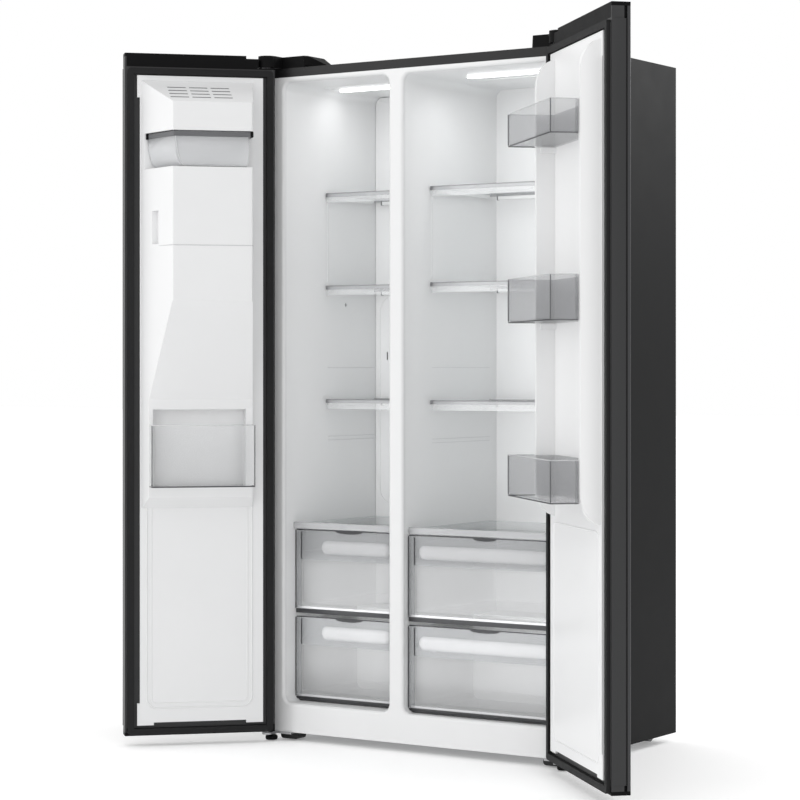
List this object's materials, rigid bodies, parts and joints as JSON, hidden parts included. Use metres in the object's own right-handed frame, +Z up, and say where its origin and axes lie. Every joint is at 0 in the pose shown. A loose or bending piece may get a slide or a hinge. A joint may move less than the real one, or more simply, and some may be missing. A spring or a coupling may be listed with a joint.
{
  "type": "side by side refrigerator",
  "caption": "Side by side refrigerator with a freezer on the left, a refrigerator on the right, drawers, door bins and an ice and water dispenser, both doors open.",
  "frame": {"origin": "on the floor, at the middle of the cabinet's front plane", "axes": "+X to the right of someone facing the doors, +Y to the back of the cabinet, +Z up"},
  "size_m": [1.5221, 0.9797, 1.788],
  "materials": {
    "aluminium": "bare",
    "black_metal": "black",
    "black_plastic": "matte",
    "charcoal_paint": "satin",
    "clear_plastic": "clear",
    "door_frame": "charcoal plastic frame over rigid foam",
    "door_skin": "satin metallic coat over foam",
    "foam": "rigid foam",
    "galvanised": "galvanised",
    "glass": "toughened",
    "grey_plastic": "matte",
    "light": "diffuser",
    "light_housing": "thin moulding filled with foam",
    "seal": "soft",
    "smoked_plastic": "smoked clear",
    "steel": "zinc coated",
    "white_liner": "moulded white",
    "white_panel": "satin"
  },
  "bodies": {
    "cabinet": {"side_panels": "charcoal_paint", "top_panel": "charcoal_paint", "back_panel": "galvanised", "top_band": "black_metal", "base_pan": "galvanised", "machine_room_cover": "galvanised", "front_frame": "white_panel", "freezer_liner": "white_liner", "fridge_liner": "white_liner", "insulation_foam": "foam", "freezer_duct_panel": "white_liner", "fridge_duct_panel": "white_liner", "freezer_shelf_1": "glass", "freezer_shelf_2": "glass", "freezer_shelf_3": "glass", "fridge_shelf_1": "glass", "fridge_shelf_2": "glass", "fridge_shelf_3": "glass", "shelf_trims": "grey_plastic", "drawer_covers": "glass", "light_bars": "light", "top_hinges": "steel", "bottom_hinges": "steel", "hinge_covers": "black_plastic", "roller_brackets": "black_metal", "compressor": "black_metal", "condenser": "black_metal", "evaporator": "aluminium", "fan_motors": "grey_plastic"},
    "freezer_door": {"freezer_door_core": "door_frame", "freezer_door_skin": "door_skin", "freezer_door_caps": "black_plastic", "freezer_door_seal": "seal", "freezer_door_liner": "light_housing", "ice_housing": "light_housing", "dispenser_recess": "black_plastic", "dispenser_panel": "black_plastic"},
    "fridge_door": {"fridge_door_core": "door_frame", "fridge_door_skin": "door_skin", "fridge_door_caps": "black_plastic", "fridge_door_seal": "seal", "fridge_door_liner": "white_liner"},
    "ice_bucket": {"ice_bucket": "clear_plastic", "ice_bucket_rim": "grey_plastic"},
    "freezer_upper_drawer": {"freezer_upper_drawer": "clear_plastic"},
    "freezer_lower_drawer": {"freezer_lower_drawer": "clear_plastic"},
    "fridge_upper_drawer": {"fridge_upper_drawer": "clear_plastic"},
    "fridge_lower_drawer": {"fridge_lower_drawer": "clear_plastic"},
    "dispenser_paddle": {"dispenser_paddle": "grey_plastic"},
    "drip_tray": {"drip_tray": "grey_plastic"},
    "freezer_door_bin": {"freezer_door_bin": "clear_plastic"},
    "fridge_upper_bin": {"fridge_upper_bin": "smoked_plastic"},
    "fridge_middle_bin": {"fridge_middle_bin": "smoked_plastic"},
    "fridge_lower_bin": {"fridge_lower_bin": "smoked_plastic"},
    "evaporator_fan": {"evaporator_fan": "black_plastic"},
    "condenser_fan": {"condenser_fan": "black_plastic"},
    "levelling_foot_left": {"levelling_foot_left": "black_plastic"},
    "levelling_foot_right": {"levelling_foot_right": "black_plastic"},
    "rear_roller_left": {"rear_roller_left": "grey_plastic"},
    "rear_roller_right": {"rear_roller_right": "grey_plastic"}
  },
  "joints": [
    {"name": "freezer_door_hinge", "type": "hinge", "parent": "cabinet", "child": "freezer_door", "pos_m": [-0.4378, -0.0321, 0.9], "axis": [0, 0, -1], "range_deg": [-134, 0]},
    {"name": "fridge_door_hinge", "type": "hinge", "parent": "cabinet", "child": "fridge_door", "pos_m": [0.4378, -0.0321, 0.9], "axis": [0, 0, 1], "range_deg": [-135.5, 0]},
    {"name": "freezer_upper_drawer_slide", "type": "slide", "parent": "cabinet", "child": "freezer_upper_drawer", "axis": [0, -1, 0], "range_m": [0, 0.3]},
    {"name": "freezer_lower_drawer_slide", "type": "slide", "parent": "cabinet", "child": "freezer_lower_drawer", "axis": [0, -1, 0], "range_m": [0, 0.22]},
    {"name": "fridge_upper_drawer_slide", "type": "slide", "parent": "cabinet", "child": "fridge_upper_drawer", "axis": [0, -1, 0], "range_m": [0, 0.3]},
    {"name": "fridge_lower_drawer_slide", "type": "slide", "parent": "cabinet", "child": "fridge_lower_drawer", "axis": [0, -1, 0], "range_m": [0, 0.22]},
    {"name": "ice_bucket_slide", "type": "slide", "parent": "freezer_door", "child": "ice_bucket", "axis": [0.7193, -0.6947, 0], "range_m": [0, 0.12]},
    {"name": "drip_tray_slide", "type": "slide", "parent": "freezer_door", "child": "drip_tray", "axis": [-0.7193, 0.6947, 0], "range_m": [0, 0.08]},
    {"name": "freezer_door_bin_lift", "type": "slide", "parent": "freezer_door", "child": "freezer_door_bin", "axis": [0, 0, 1], "range_m": [0, 0.03]},
    {"name": "fridge_upper_bin_lift", "type": "slide", "parent": "fridge_door", "child": "fridge_upper_bin", "axis": [0, 0, 1], "range_m": [0, 0.03]},
    {"name": "fridge_middle_bin_lift", "type": "slide", "parent": "fridge_door", "child": "fridge_middle_bin", "axis": [0, 0, 1], "range_m": [0, 0.03]},
    {"name": "fridge_lower_bin_lift", "type": "slide", "parent": "fridge_door", "child": "fridge_lower_bin", "axis": [0, 0, 1], "range_m": [0, 0.03]},
    {"name": "dispenser_paddle_hinge", "type": "hinge", "parent": "freezer_door", "child": "dispenser_paddle", "pos_m": [-0.53841, -0.1835, 1.188], "axis": [-0.6947, -0.7193, 0], "range_deg": [0, 9], "stiffness_Nm_per_rad": 0.2, "springref_deg": -2.86},
    {"name": "evaporator_fan_spin", "type": "hinge", "parent": "cabinet", "child": "evaporator_fan", "pos_m": [-0.243, 0.446, 1.4], "axis": [0, 1, 0], "continuous": true},
    {"name": "condenser_fan_spin", "type": "hinge", "parent": "cabinet", "child": "condenser_fan", "pos_m": [0.02, 0.46, 0.14], "axis": [1, 0, 0], "continuous": true},
    {"name": "levelling_foot_left_turn", "type": "hinge", "parent": "cabinet", "child": "levelling_foot_left", "pos_m": [-0.439, -0.012, 0.01], "axis": [0, 0, 1], "continuous": true},
    {"name": "levelling_foot_right_turn", "type": "hinge", "parent": "cabinet", "child": "levelling_foot_right", "pos_m": [0.439, -0.012, 0.01], "axis": [0, 0, 1], "continuous": true},
    {"name": "rear_roller_left_spin", "type": "hinge", "parent": "cabinet", "child": "rear_roller_left", "pos_m": [-0.4, 0.5, 0.017], "axis": [1, 0, 0], "continuous": true},
    {"name": "rear_roller_right_spin", "type": "hinge", "parent": "cabinet", "child": "rear_roller_right", "pos_m": [0.4, 0.5, 0.017], "axis": [1, 0, 0], "continuous": true}
  ]
}
